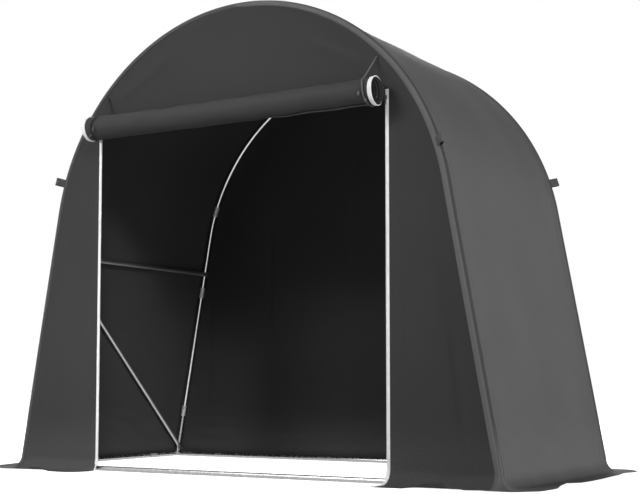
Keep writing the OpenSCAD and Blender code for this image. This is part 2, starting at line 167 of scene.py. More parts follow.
def arch(s):
    """Bow centreline at a length from the left foot: up the leg, round the arc, down the other leg.

    Returns x, z and the normal's x and z."""
    angle = math.pi - LEAN - np.clip(s - LEG_RUN, 0, ARC_RUN) / BOW_R
    below = np.minimum(s - LEG_RUN, 0) + np.minimum(LEG_RUN + ARC_RUN - s, 0)
    side = np.sign(np.cos(angle))
    x = BOW_R * np.cos(angle) - side * below * math.sin(LEAN)
    z = BOW_Z + BOW_R * np.sin(angle) + below * math.cos(LEAN)
    return x, z, np.cos(angle), np.sin(angle)


def half_width(z):
    """Half width of an end wall at a height: the leg's line below the tangent, the arc above."""
    leg = FOOT - z * math.tan(LEAN)
    arc = np.sqrt(np.clip(BOW_R ** 2 - (z - BOW_Z) ** 2, 0, None))
    return np.where(z < TANGENT_Z, leg, arc)


def grid_quads(rows, cols):
    """Four corner indices of every cell of a grid of points, row by row."""
    i, j = np.meshgrid(np.arange(rows - 1), np.arange(cols - 1), indexing="ij")
    a = (i * cols + j).ravel()
    return np.stack([a, a + 1, a + cols + 1, a + cols], 1)


def new_piece(name, points, faces, cut=None, values=None, flip=False):
    """Smooth mesh object at the origin from points and faces.

    The cut's coordinates go into a UV map, the values into attributes of the points."""
    faces = np.asarray(faces)
    if flip:
        faces = faces[:, ::-1]
    mesh = bpy.data.meshes.new(name)
    mesh.from_pydata(np.asarray(points, float).reshape(-1, 3).tolist(), [], faces.tolist())
    if cut is not None:
        corners = np.empty(len(mesh.loops), dtype=np.int32)
        mesh.loops.foreach_get("vertex_index", corners)
        layer = mesh.uv_layers.new(name="cut")
        layer.data.foreach_set("uv", np.asarray(cut, float).reshape(-1, 2)[corners].ravel())
    for key, value in (values or {}).items():
        layer = mesh.attributes.new(key, "FLOAT", "POINT")
        layer.data.foreach_set("value", np.asarray(value, float).ravel())
    mesh.polygons.foreach_set("use_smooth", np.full(len(mesh.polygons), True))
    mesh.update()
    piece = bpy.data.objects.new(name, mesh)
    bpy.context.scene.collection.objects.link(piece)
    return piece


def grid_piece(name, points, cut=None, values=None, flip=False):
    """Piece from a grid of points, rows by columns."""
    rows, cols = points.shape[:2]
    return new_piece(name, points, grid_quads(rows, cols), cut, values, flip)


def weld(piece):
    """Joins points that lie on each other."""
    shape = bmesh.new()
    shape.from_mesh(piece.data)
    bmesh.ops.remove_doubles(shape, verts=shape.verts, dist=SAME_POINT)
    shape.to_mesh(piece.data)
    shape.free()


def thicken(piece, thickness, offset=-1, lining=None):
    """Solidify: gives a sheet its thickness, behind its face at offset -1, with a lining on its back."""
    solid = piece.modifiers.new("thickness", "SOLIDIFY")
    solid.thickness = thickness
    solid.offset = offset
    solid.use_even_offset = False
    if lining is not None:
        piece.data.materials.append(lining)
        solid.material_offset = 1


def repeat_block(name, centres, along, across, up, size):
    """One small pointed block at every centre, turned to the three directions given there.

    Each corner is the centre plus the half sizes along each direction: a point, four corners, four
    more at the other end, and a point."""
    length, width, height = (0.5 * s for s in size)
    taper = 0.72
    ring = [(-1, 0), (0, 1), (1, 0), (0, -1)]
    shape = [(-1, 0, 0)] + [(end * taper, *corner) for end in (-1, 1) for corner in ring] + [(1, 0, 0)]
    shape = np.array(shape, float)
    faces = []
    for k in range(4):
        n = (k + 1) % 4
        faces += [(0, 1 + k, 1 + n), (1 + k, 5 + k, 5 + n), (1 + k, 5 + n, 1 + n), (9, 5 + n, 5 + k)]
    points = (
        centres[:, None]
        + shape[None, :, 0:1] * length * along[:, None]
        + shape[None, :, 1:2] * width * across[:, None]
        + shape[None, :, 2:3] * height * up[:, None]
    )
    shift = np.arange(len(centres))[:, None, None] * len(shape)
    return new_piece(name, points, (np.array(faces)[None] + shift).reshape(-1, 3))


def unit(v):
    """Vectors scaled to length 1."""
    return v / np.linalg.norm(v, axis=-1, keepdims=True)


def length_along(path):
    """Length of a path up to each of its points."""
    return np.r_[0, np.cumsum(np.linalg.norm(np.diff(path, axis=0), axis=1))]


def spaced(path, pitch, *carried):
    """Points every pitch along a path, the path's direction there, and what else it carries there."""
    run = length_along(path)
    marks = np.arange(pitch / 2, run[-1], pitch)

    def read(values, at):
        return np.stack([np.interp(at, run, values[:, k]) for k in range(3)], 1)

    points = read(path, marks)
    ahead = unit(read(path, marks + pitch * 0.1) - points)
    return (points, ahead, *(read(values, marks) for values in carried))


# Materials


def start_material(name):
    """New node material with its Principled shader."""
    material = bpy.data.materials.new(name)
    material.use_nodes = True
    tree = material.node_tree
    return material, tree, tree.nodes["Principled BSDF"]


def add(tree, kind, inputs=None, **settings):
    """Node of a kind with its settings, its inputs set or linked."""
    node = tree.nodes.new(kind)
    for key, value in settings.items():
        setattr(node, key, value)
    for key, value in (inputs or {}).items():
        if isinstance(value, bpy.types.NodeSocket):
            tree.links.new(value, node.inputs[key])
        else:
            node.inputs[key].default_value = value
    return node


def maths(tree, operation, a, b=0.0, c=0.0):
    """Math node's result."""
    return add(tree, "ShaderNodeMath", {0: a, 1: b, 2: c}, operation=operation).outputs[0]


def mix_colour(tree, share, a, b):
    """Colour between a and b."""
    node = add(tree, "ShaderNodeMix", {"Factor": share}, data_type="RGBA")
    for socket, value in ((node.inputs[6], a), (node.inputs[7], b)):
        if isinstance(value, bpy.types.NodeSocket):
            tree.links.new(value, socket)
        else:
            socket.default_value = value
    return node.outputs[2]


def grey(value, tint=(1.0, 0.985, 1.02)):
    """Neutral colour of a linear brightness, with a slight tint."""
    return tuple(value * t for t in tint) + (1.0,)


def weave(tree, pitch):
    """Height of a plain weave in the cut's coordinates: sines of both threads, one thread per pitch."""
    cut = add(tree, "ShaderNodeUVMap", uv_map="cut").outputs[0]
    parts = add(tree, "ShaderNodeSeparateXYZ", {0: cut})
    warp, weft = (
        maths(tree, "SINE", maths(tree, "MULTIPLY", parts.outputs[k], math.pi / pitch)) for k in (0, 1)
    )
    return cut, maths(tree, "MULTIPLY", warp, weft)


def cloth_material(name, colour, rough, thread=0.0011):
    """Coated cloth: weave and fine creases as bump, uneven tone, dust.

    Point attributes say where it is lighter by a painted highlight (band), darker by painted shade, and dusty
    (dust)."""
    material, tree, shader = start_material(name)
    cut, threads = weave(tree, thread)
    broad = add(tree, "ShaderNodeTexNoise", {"Vector": cut, "Scale": 3.0, "Detail": 4.0, "Roughness": 0.55})
    fine = add(tree, "ShaderNodeTexNoise", {"Vector": cut, "Scale": 140.0, "Detail": 3.0, "Roughness": 0.6})
    tone = maths(tree, "MULTIPLY_ADD", broad.outputs[0], 0.22, 0.89)
    tone = maths(tree, "MULTIPLY_ADD", fine.outputs[0], 0.10, maths(tree, "SUBTRACT", tone, 0.05))
    band = add(tree, "ShaderNodeAttribute", attribute_name="band").outputs["Fac"]
    painted_shade = add(tree, "ShaderNodeAttribute", attribute_name="painted_shade").outputs["Fac"]
    dust = add(tree, "ShaderNodeAttribute", attribute_name="dust").outputs["Fac"]
    # The band attribute lightens the tone as a painted highlight; the attribute after it darkens the tone as
    # painted shade
    tone = maths(tree, "MULTIPLY", tone, maths(tree, "MULTIPLY_ADD", band, PAINTED_HIGHLIGHT_GAIN, 1.0))
    tone = maths(tree, "MULTIPLY", tone, maths(tree, "MULTIPLY_ADD", painted_shade, -PAINTED_SHADE_LOSS, 1.0))
    base = add(tree, "ShaderNodeVectorMath", {0: colour[:3], 1: (0, 0, 0)}, operation="MULTIPLY")
    spread = add(tree, "ShaderNodeCombineXYZ", {0: tone, 1: tone, 2: tone})
    tree.links.new(spread.outputs[0], base.inputs[1])
    dusty = maths(tree, "MULTIPLY", dust, maths(tree, "MULTIPLY", fine.outputs[0], 0.30))
    tree.links.new(mix_colour(tree, dusty, base.outputs[0], grey(0.20)), shader.inputs["Base Color"])
    gloss = maths(tree, "MULTIPLY_ADD", broad.outputs[0], 0.12, rough - 0.06)
    tree.links.new(gloss, shader.inputs["Roughness"])
    shader.inputs["Specular IOR Level"].default_value = 0.04
    crinkle = add(tree, "ShaderNodeTexNoise", {"Vector": cut, "Scale": 22.0, "Detail": 5.0, "Roughness": 0.6})
    soft = add(tree, "ShaderNodeBump", {"Height": crinkle.outputs[0], "Strength": 0.10, "Distance": 0.004})
    bump = add(
        tree, "ShaderNodeBump",
        {"Height": threads, "Normal": soft.outputs[0], "Strength": 0.16, "Distance": 0.0003},
    )
    tree.links.new(bump.outputs[0], shader.inputs["Normal"])
    return material


def coat_material(name, colour, rough, grain, depth, metallic=0.0):
    """Painted, plated or moulded finish: uneven tone and fine grain as bump."""
    material, tree, shader = start_material(name)
    place = add(tree, "ShaderNodeTexCoord").outputs["Object"]
    broad = add(tree, "ShaderNodeTexNoise", {"Vector": place, "Scale": 9.0, "Detail": 5.0, "Roughness": 0.65})
    fine = {"Vector": place, "Scale": grain, "Detail": 3.0, "Roughness": 0.6}
    speck = add(tree, "ShaderNodeTexNoise", fine)
    darker = tuple(c * 0.82 for c in colour[:3]) + (1.0,)
    tree.links.new(mix_colour(tree, broad.outputs[0], darker, colour), shader.inputs["Base Color"])
    gloss = maths(tree, "MULTIPLY_ADD", broad.outputs[0], 0.18, rough - 0.09)
    tree.links.new(gloss, shader.inputs["Roughness"])
    shader.inputs["Metallic"].default_value = metallic
    bump = add(tree, "ShaderNodeBump", {"Height": speck.outputs[0], "Strength": 0.25, "Distance": depth})
    tree.links.new(bump.outputs[0], shader.inputs["Normal"])
    return material


def steel_material(name, colour, rough, spangle=70.0):
    """Galvanised steel: faint zinc crystals and broad patches in tone and gloss, fine grain as bump."""
    material, tree, shader = start_material(name)
    place = add(tree, "ShaderNodeTexCoord").outputs["Object"]
    crystal = add(tree, "ShaderNodeTexVoronoi", {"Vector": place, "Scale": spangle, "Randomness": 1.0})
    broad = add(tree, "ShaderNodeTexNoise", {"Vector": place, "Scale": 7.0, "Detail": 5.0, "Roughness": 0.65})
    fine = {"Vector": place, "Scale": 500.0, "Detail": 3.0, "Roughness": 0.6}
    grain = add(tree, "ShaderNodeTexNoise", fine)
    flake = add(tree, "ShaderNodeSeparateXYZ", {0: crystal.outputs["Color"]})
    duller = tuple(c * 0.80 for c in colour[:3]) + (1.0,)
    tone = maths(tree, "MULTIPLY_ADD", flake.outputs[0], 0.35, maths(tree, "MULTIPLY", broad.outputs[0], 0.9))
    tree.links.new(mix_colour(tree, tone, duller, colour), shader.inputs["Base Color"])
    gloss = maths(tree, "MULTIPLY_ADD", flake.outputs[1], 0.07, rough - 0.08)
    tree.links.new(maths(tree, "MULTIPLY_ADD", broad.outputs[0], 0.10, gloss), shader.inputs["Roughness"])
    shader.inputs["Metallic"].default_value = 1.0
    bump = add(tree, "ShaderNodeBump", {"Height": grain.outputs[0], "Strength": 0.12, "Distance": 0.0001})
    tree.links.new(bump.outputs[0], shader.inputs["Normal"])
    return material


def tape_material(name, colour, rib=0.0014):
    """Woven tape: the weave in the cut's coordinates as bump, and a slightly uneven tone."""
    material, tree, shader = start_material(name)
    cut, threads = weave(tree, rib)
    broad = add(tree, "ShaderNodeTexNoise", {"Vector": cut, "Scale": 40.0, "Detail": 3.0})
    darker = tuple(c * 0.90 for c in colour[:3]) + (1.0,)
    tree.links.new(mix_colour(tree, broad.outputs[0], darker, colour), shader.inputs["Base Color"])
    shader.inputs["Roughness"].default_value = 0.75
    shader.inputs["Specular IOR Level"].default_value = 0.25
    bump = add(tree, "ShaderNodeBump", {"Height": threads, "Strength": 0.15, "Distance": 0.0003})
    tree.links.new(bump.outputs[0], shader.inputs["Normal"])
    return material


# How much lighter the painted highlight makes the crest over each bow, and how much darker the painted shade
# makes the strip behind it
PAINTED_HIGHLIGHT_GAIN = 0.55
PAINTED_SHADE_LOSS = 0.42
# The tint of the white tapes, which have none
NEUTRAL = (1.0, 1.0, 1.0)

# Each finish with its brightness and its roughness, rib or grain
cover_cloth = cloth_material("cover cloth", grey(0.075), 0.58)
panel_cloth = cloth_material("panel cloth", grey(0.041), 0.62)
inner_cloth = cloth_material("inner cloth", grey(0.070), 0.62)
front_lining = cloth_material("front lining", grey(0.036), 0.62)
inner_dark = cloth_material("inner rear cloth", grey(0.041), 0.62)
roll_cloth = cloth_material("rolled cloth", grey(0.044), 0.56)
tube_steel = steel_material("tube steel", grey(0.86), 0.20)
# A darker copy of the tube steel for the tubes on the ground: painted shade
ground_steel_painted_shade = steel_material("ground tube steel", grey(0.50), 0.26)
strut_steel = steel_material("strut steel", grey(0.62), 0.46)
sleeve_steel = steel_material("sleeve steel", grey(0.60), 0.70, 160.0)
bolt_zinc = coat_material("bolt zinc", grey(0.5), 0.35, 600.0, 0.0001, metallic=0.9)
nut_black = coat_material("nut black", grey(0.02), 0.5, 700.0, 0.0002)
zip_white = tape_material("zip tape", grey(0.84, NEUTRAL))
teeth_white = coat_material("zip teeth", grey(0.90, NEUTRAL), 0.5, 900.0, 0.0001)
slider_grey = coat_material("slider metal", grey(0.2), 0.35, 600.0, 0.0001, metallic=0.8)
webbing = tape_material("loop webbing", grey(0.070), 0.0020)
tie_web = tape_material("tie webbing", grey(0.11), 0.0016)
# A darker copy of the tie webbing for the left tie: painted shade
tie_web_painted_shade = tape_material("dark tie webbing", grey(0.022), 0.0016)
thread_dark = coat_material("thread", grey(0.05), 0.7, 800.0, 0.0001)
# Near black lining inside the guy loops: painted shade in their hollows
loop_inside_painted_shade = tape_material("loop inside", grey(0.006), 0.0020)
toggle_grey = coat_material("toggle grey", grey(0.06), 0.45, 500.0, 0.0002)

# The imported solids' finishes, by the record's slots
FINISH = {
    "tube_steel": tube_steel, "strut_steel": strut_steel, "sleeve": sleeve_steel, "bolt_steel": bolt_zinc,
    "nut_plastic": nut_black, "cover_cloth": cover_cloth, "panel_cloth": panel_cloth,
    "zip_tape": zip_white, "slider_metal": slider_grey, "tie_webbing": tie_web, "loop_webbing": webbing,
}
for row in frame["record"]["subparts"]:
    for place in frame["nodes"][row["node"]].material_slots:
        place.material = FINISH[row["material_slot"]]

# The tubes that lie on the ground get a darker, rougher copy of the tube steel: the darker tone is painted
# shade
GROUND_TUBES = ["front_sill", "rear_sill", "base_rail_left", "base_rail_right"]
GROUND_TUBES += ["corner_%s_%s" % (row, side) for row in ("front", "rear") for side in ("left", "right")]
for name in GROUND_TUBES:
    for place in frame["nodes"][name].material_slots:
        place.material = ground_steel_painted_shade


def dress(piece, material, slot, *nodes):
    """Gives a piece its material, lets it ride and stand for CAD nodes; the slot it is handed is not used.

    The material goes before the lining that a thickened piece already has."""
    piece.data.materials.append(material)
    if len(piece.data.materials) > 1:
        piece.data.materials[0], piece.data.materials[1] = material, piece.data.materials[0]
    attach(piece, "root")
    if nodes:
        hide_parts(*nodes)


# Skirt: where every wall turns out along the ground

# Places round the outline of the feet, from the front left corner past the front, right, back and left
RIGHT_START = 2 * SKIRT_X + CORNER_RUN
BACK_START = RIGHT_START + DEPTH + CORNER_RUN
LEFT_START = BACK_START + 2 * SKIRT_X + CORNER_RUN
LEFT_ZIP = SKIRT_X - DOOR_HALF
RIGHT_ZIP = SKIRT_X + DOOR_HALF

# How far the hem lies out from the walls at those places
REACH = [
    (0, 0.112), (0.10, 0.106), (0.18, 0.112), (0.25, 0.122), (0.31, 0.127), (LEFT_ZIP - 0.045, 0.124),
    (LEFT_ZIP - 0.018, 0.100), (LEFT_ZIP, 0.036), (RIGHT_ZIP, 0.126), (RIGHT_ZIP + 0.14, 0.120),
    (RIGHT_ZIP + 0.24, 0.108), (2 * SKIRT_X - 0.02, 0.104), (RIGHT_START - 0.04, 0.116),
    (RIGHT_START, 0.140), (RIGHT_START + 0.10, 0.142), (RIGHT_START + 0.24, 0.118),
    (RIGHT_START + 0.31, 0.108), (RIGHT_START + 0.37, 0.132), (RIGHT_START + 0.56, 0.140),
    (RIGHT_START + 0.78, 0.128), (RIGHT_START + 0.94, 0.110), (RIGHT_START + DEPTH, 0.120),
    (BACK_START - 0.05, 0.114), (BACK_START + 0.5, 0.108), (BACK_START + 1.1, 0.122),
    (BACK_START + 1.7, 0.106), (LEFT_START - 0.06, 0.122), (LEFT_START + 0.4, 0.108),
    (LEFT_START + 0.8, 0.120), (OUTLINE - 0.07, 0.128), (OUTLINE, 0.112),
]
# How high the hem stands off the ground there
LIFT = [
    (0, 0.004), (0.05, 0.004), (0.11, 0.007), (0.165, 0.013), (0.195, 0.016), (0.235, 0.005), (0.27, 0.001),
    (LEFT_ZIP, 0.001), (RIGHT_ZIP, 0.0), (RIGHT_ZIP + 0.11, 0.0), (RIGHT_ZIP + 0.155, 0.008),
    (RIGHT_ZIP + 0.205, 0.019), (RIGHT_ZIP + 0.245, 0.021), (RIGHT_ZIP + 0.30, 0.009),
    (RIGHT_ZIP + 0.335, 0.003), (RIGHT_ZIP + 0.385, 0.007), (2 * SKIRT_X, 0.005), (RIGHT_START - 0.05, 0.002),
    (RIGHT_START + 0.12, 0.001), (RIGHT_START + 0.28, 0.006), (RIGHT_START + 0.40, 0.003),
    (RIGHT_START + 0.66, 0.004), (RIGHT_START + 0.86, 0.004), (RIGHT_START + DEPTH, 0.002),
    (RIGHT_START + DEPTH + 0.07, 0.002), (BACK_START, 0.001), (BACK_START + 0.35, 0.007),
    (BACK_START + 0.7, 0.002), (BACK_START + 1.1, 0.012), (BACK_START + 1.5, 0.003),
    (BACK_START + 1.9, 0.010), (LEFT_START - 0.06, 0.012), (LEFT_START, 0.004), (LEFT_START + 0.3, 0.012),
    (LEFT_START + 0.55, 0.002), (LEFT_START + 0.9, 0.009), (OUTLINE - 0.09, 0.006), (OUTLINE, 0.004),
]
# How wide the walls turn there, as a share of the widest turn
TURN = [
    (0, 1), (RIGHT_START + DEPTH - 0.15, 1), (RIGHT_START + DEPTH, 0.8), (BACK_START - 0.03, 0.8),
    (BACK_START + 0.15, 1), (OUTLINE, 1),
]
# A turn takes up no more than this share of the skirt's reach
TURN_SHARE = 0.62
# How far the skirt sways in and out
SWAY = 0.0035


def skirt(turn, flat, place):
    """Distance out of the wall and height of the skirt at a share of its turn and of its flat run.

    A quarter circle from upright to level, then a level run to the hem, lifted towards the hem by a
    power of its share, and the whole swayed in and out by ripples along the outline."""
    reach = through(place, REACH)
    radius = np.minimum(FLARE * through(place, TURN), TURN_SHARE * reach)
    bend = turn * math.pi / 2
    out = radius * (1 - np.cos(bend)) + flat * (reach - radius)
    high = CLOTH + radius * (1 - np.sin(bend)) + (FLARE - radius) * (1 - turn)
    high = high + through(place, LIFT) * flat ** 1.4
    sway = SWAY * ripples(place, place * 0, 0.21, 5) * np.sin(bend) * (1 - 0.6 * flat)
    return out + sway, high


def skirt_rows(turns, flats):
    """Shares of the turn and of the flat run, row by row from the top of the turn to the hem."""
    turn = np.r_[np.linspace(0, 1, turns)[1:], np.ones(flats)]
    flat = np.r_[np.zeros(turns - 1), np.linspace(0, 1, flats + 1)[1:]]
    return turn, flat


# End walls

# Folds of the front wall: height, place of the foot and of the head on the wall, width
FRONT_FOLDS = [
    (0.004, (0.93, 0.10), (0.80, 1.15), 0.030),
    (0.003, (0.72, 0.30), (0.70, 1.38), 0.018),
    (-0.004, (0.97, 0.05), (0.90, 0.60), 0.022),
    (0.004, (-0.92, 0.10), (-0.80, 1.10), 0.034),
    (-0.003, (-0.74, 0.10), (-0.71, 1.30), 0.020),
    (0.005, (0.61, 1.47), (0.30, 1.62), 0.030),
    (0.004, (-0.61, 1.47), (-0.25, 1.66), 0.034),
]
# Upright folds of the rear wall: height, place across the wall, head's height above the ground
REAR_FOLDS = [(0.005, -0.90, 1.10), (0.0045, -0.55, 1.50), (0.004, -0.10, 1.60), (0.0045, 0.35, 1.55),
              (0.005, 0.72, 1.20)]
REAR_FOLD_FOOT = 0.08
REAR_FOLD_W = 0.022
REAR_FOLD_LEAN = 0.03
# Heights of the ripples: broad and fine ones in front, broad and level ones at the back
FRONT_BROAD = 0.0045
FRONT_FINE = 0.0012
REAR_BROAD = 0.006
REAR_LEVEL = 0.0035
# The front wall is held this far to either side of a zip
ZIP_HOLD = 0.045


def front_relief(x, z):
    """How far the front wall's cloth stands forward: broad and fine ripples plus the folds.

    It fades to nothing at the bow and beside the zips, where the cloth is held."""
    calm = ease((half_width(z) - np.abs(x)) / 0.12)
    relief = FRONT_BROAD * ripples(x, z * 0.6, 0.55, 11) + FRONT_FINE * ripples(x, z * 0.35, 0.16, 12)
    for height, foot, head, width in FRONT_FOLDS:
        relief = relief + height * fold(x, z, foot, head, width)
    beside_zip = np.exp(-((np.abs(x) - DOOR_HALF) / ZIP_HOLD) ** 2) * (1 - ease((z - DOOR_H) / 0.06))
    return relief * calm * (1 - beside_zip)


def rear_relief(x, z):
    """How far the rear wall's cloth stands back: ripples, level wrinkles near the ground, upright folds.

    It fades to nothing at the bow."""
    calm = ease((half_width(z) - np.abs(x)) / 0.10)
    low = np.exp(-((z - 0.13) / 0.11) ** 2)
    relief = REAR_BROAD * ripples(x, z * 0.7, 0.50, 21) + REAR_LEVEL * low * ripples(x * 0.35, z, 0.07, 22)
    for height, at, head in REAR_FOLDS:
        relief = relief + height * fold(x, z, (at, REAR_FOLD_FOOT), (at + REAR_FOLD_LEAN, head), REAR_FOLD_W)
    return relief * calm


def end_wall_points(x, z, relief, place, turn, flat, facing):
    """Outer face of an end wall, from its upright rows and its skirt rows under them.

    Each point lies out from the bow by the wall's offset plus the relief, and in the skirt by the
    skirt's own distance plus a relief that fades with the turn."""
    y_up = WALL_OUT + relief(x, z)
    out, high = skirt(turn, flat, place)
    y_low = WALL_OUT + out + relief(place * 0 + x[0], place * 0 + FLARE_TOP) * (1 - turn)
    x_low = np.broadcast_to(x[0], y_low.shape)
    y = np.concatenate([y_low[::-1], y_up])
    height = np.concatenate([high[::-1], z])
    return np.stack([np.concatenate([x_low, x]), facing * (y - FRONT), height], -1)


def cut_of(points):
    """Coordinates of the flat cut: length along each row and down the middle column."""
    mid = points[:, points.shape[1] // 2]
    down = length_along(mid)
    across = np.linalg.norm(np.diff(points, axis=1), axis=2)
    across = np.concatenate([np.zeros((len(points), 1)), np.cumsum(across, 1)], 1)
    across = across - across[:, points.shape[1] // 2][:, None]
    return np.stack([across, np.broadcast_to(down[:, None], across.shape)], -1)


def dust_near_ground(points):
    """Dust on the cloth: full on the ground, gone 0.25 m up."""
    return 1 - ease(points[..., 2] / 0.25)


# Points along the turn of every skirt, and along its flat run
TURNS = 11
FLATS = 9
# Points across the front wall from the doorway's edge to the bow
SIDE_COLS = 56
# The highest rows of the end walls stop this near the top of the arc
ARC_END = math.radians(89.6)


def side_wall_points(side, rows=150):
    """Front wall beside the doorway, from hem to the doorway's top.

    Across it, each point is an even share of the way from the doorway's edge to the bow."""
    share = np.linspace(0, 1, SIDE_COLS)[None]
    z = np.linspace(FLARE_TOP, DOOR_H, rows)[:, None] + 0 * share
    x = side * (DOOR_HALF + share * (half_width(z) - DOOR_HALF))
    turn, flat = (a[:, None] + 0 * share for a in skirt_rows(TURNS, FLATS))
    place = SKIRT_X + x[0][None] + 0 * turn
    return end_wall_points(x, z, front_relief, place, turn, flat, -1)


def top_wall_points(middle=130, rows=54):
    """Front wall above the doorway: shares of the half width at heights that follow the arc's sine.

    Its lowest row has the points that the side walls end in."""
    edge = float(half_width(np.array(DOOR_H)))
    beside = DOOR_HALF + np.linspace(0, 1, SIDE_COLS) * (edge - DOOR_HALF)
    share = np.r_[-beside[::-1], np.linspace(-DOOR_HALF, DOOR_HALF, middle)[1:-1], beside] / edge
    low = math.asin((DOOR_H - BOW_Z) / BOW_R)
    z = (BOW_Z + BOW_R * np.sin(np.linspace(low, ARC_END, rows)))[:, None] + 0 * share[None]
    x = share[None] * half_width(z)
    y = WALL_OUT + front_relief(x, z)
    return np.stack([x, -(y - FRONT), z], -1)


def join_grids(name, grids, flips):
    """One piece from several grids whose borders meet: their points and faces in a row, then welded."""
    points, cuts, faces, dusts, start = [], [], [], [], 0
    for grid, flip in zip(grids, flips):
        rows, cols = grid.shape[:2]
        quads = grid_quads(rows, cols) + start
        faces.append(quads[:, ::-1] if flip else quads)
        points.append(grid.reshape(-1, 3))
        cuts.append(grid[..., [0, 2]].reshape(-1, 2))
        dusts.append(dust_near_ground(grid).ravel())
        start += rows * cols
    piece = new_piece(name, np.concatenate(points), np.concatenate(faces), np.concatenate(cuts),
                      {"dust": np.concatenate(dusts)})
    weld(piece)
    return piece


right_wall = side_wall_points(1)
left_wall = side_wall_points(-1)
top_wall = top_wall_points()
front_wall = join_grids("front_wall", [right_wall, left_wall, top_wall], [False, True, False])
thicken(front_wall, CLOTH, lining=front_lining)
dress(front_wall, panel_cloth, "panel_cloth", "front_panel_left", "front_panel_right", "front_panel_top")


def rear_wall_points(cols=150, straight_rows=83, arc_rows=47):
    """Rear wall: even shares of the half width, at even heights up the legs and even angles up the arc."""
    share = np.linspace(-1, 1, cols)[None]
    straight = np.linspace(FLARE_TOP, TANGENT_Z, straight_rows + 1)[:-1]
    arc = BOW_Z + BOW_R * np.sin(np.linspace(LEAN, ARC_END, arc_rows))
    z = np.r_[straight, arc][:, None] + 0 * share
    x = share * half_width(z)
    turn, flat = (a[:, None] + 0 * share for a in skirt_rows(TURNS, FLATS))
    place = BACK_START + SKIRT_X - x[0][None] + 0 * turn
    return end_wall_points(x, z, rear_relief, place, turn, flat, 1)


def rear_wall_painted_shade(points):
    """Painted shade low on the rear wall, from the left leg on: the cloth is darker there."""
    return 1.05 * ease((0.75 - points[..., 2]) / 0.45) * ease((points[..., 0] + 0.80) / 0.30)


rear_points = rear_wall_points()
rear_wall = grid_piece(
    "rear_wall", rear_points, cut_of(rear_points),
    {"dust": dust_near_ground(rear_points), "painted_shade": rear_wall_painted_shade(rear_points)},
    flip=True,
)
thicken(rear_wall, CLOTH, lining=inner_dark)
dress(rear_wall, panel_cloth, "panel_cloth", "rear_panel")


# Cover: one length of cloth from the left hem over both bows to the right hem

# Depths behind each bow at which the cover has close columns, and where its even ones start
NEAR_BOW = np.array([0.0015, 0.004, 0.009, 0.015, 0.022, 0.029, 0.036, 0.046, 0.06])
EVEN_FROM = 0.078
# How far the cover's edges are tucked in at the end walls
TUCK = 0.009
# How far the cover sags between the bows at a length down from the roof's middle
SAG = [(0.0, 0.003), (0.35, 0.003), (0.75, 0.001), (1.15, 0.004), (1.6, 0.009), (2.1, 0.007), (2.4, 0.002)]
# The dip behind each bow
STRIP_W = 0.034
STRIP_DIP = 0.0042
# Heights of the cover's wrinkles: broad ones, fine ones beside the bows, level ones near the ground
COVER_BROAD = 0.0028
COVER_FINE = 0.0011
COVER_LEVEL = 0.0028
# The legs' normal turns level from this far above the foot, within this run
UPRIGHT_FROM = 0.32
UPRIGHT_RUN = 0.26

# Painted light on the cover, at angles in degrees from a bow's top or at depths behind the bow in metres:
# painted highlight on the crest round the bow's outer side, on a second ridge near the ground and in a thin
# line behind the crest; painted shade on the strip from the crest's shoulder to the dip, on the roof and the
# flap
CREST_EDGE = 42
CREST_RAMP = 16
RIDGE_AT = 20
RIDGE_W = 13
RIDGE_GAIN = 0.9
LINE_AT = 0.021
LINE_W = 0.004
LINE_GAIN = 0.17
SHOULDER_EDGE = 50
SHOULDER_RAMP = 14
STRIP_EDGE = 0.010
STRIP_RAMP = 0.008
ROOF_PAINTED_SHADE = 0.62
FLAP_PAINTED_SHADE = 0.95


def cover_section():
    """Section across both bows, front to back: angle round a bow, place between them, overlap inwards.

    Quarter turns over each bow, close columns behind them and even ones between."""
    quarter = np.radians(np.linspace(-90, 0, 10))
    between = np.linspace(FRONT + EVEN_FROM, BACK - EVEN_FROM, 58)
    angle = np.r_[-math.pi / 2, -math.pi / 2, quarter[1:], np.zeros(2 * len(NEAR_BOW) + len(between)),
                  -quarter[::-1][1:], math.pi / 2]
    y = np.r_[np.full(len(quarter) + 1, FRONT), FRONT + NEAR_BOW, between, BACK - NEAR_BOW[::-1],
              np.full(len(quarter), BACK)]
    tuck = np.zeros(len(y))
    tuck[[0, -1]] = TUCK
    return angle, y, tuck


def cover_rows(per_side=186):
    """Rows from the middle of the roof down one side: arch length, skirt turn and flat shares."""
    s = np.linspace(ARCH_RUN / 2, ARCH_RUN - FLARE_TOP / math.cos(LEAN), per_side)
    turn, flat = skirt_rows(TURNS, FLATS)
    return np.r_[s, np.full(len(turn), s[-1])], np.r_[0 * s, turn], np.r_[0 * s, flat]


def cover_places(side, angle, y):
    """Place round the outline of the feet that each column of one half of the cover comes down at."""
    corner = CORNER_RUN * angle * 2 / math.pi
    if side > 0:
        between = RIGHT_START + y - FRONT
        return np.where(angle < 0, RIGHT_START, np.where(angle > 0, RIGHT_START + DEPTH, between)) + corner
    between = OUTLINE - CORNER_RUN - (y - FRONT)
    return np.where(angle < 0, OUTLINE - CORNER_RUN, np.where(angle > 0, LEFT_START, between)) - corner


def cover_wrinkles(side, s, y, inset):
    """Wrinkles of one half of the cover: broad ripples between the bows, fine ones beside them and low."""
    down = s - ARCH_RUN / 2
    calm = ease((inset - 0.02) / 0.16)
    beside_bow = np.exp(-((inset - 0.05) / 0.04) ** 2) * (inset > 0)
    low = np.exp(-((s - ARCH_RUN + 0.16) / 0.10) ** 2)
    broad = COVER_BROAD * ripples(down * 0.8, y, 0.42, 31 + side) * calm
    fine = COVER_FINE * ripples(down, y * 0.35, 0.075, 35 + side) * beside_bow
    level = COVER_LEVEL * ripples(down, y * 0.25, 0.06, 41 + side) * low * calm
    return broad + fine + level


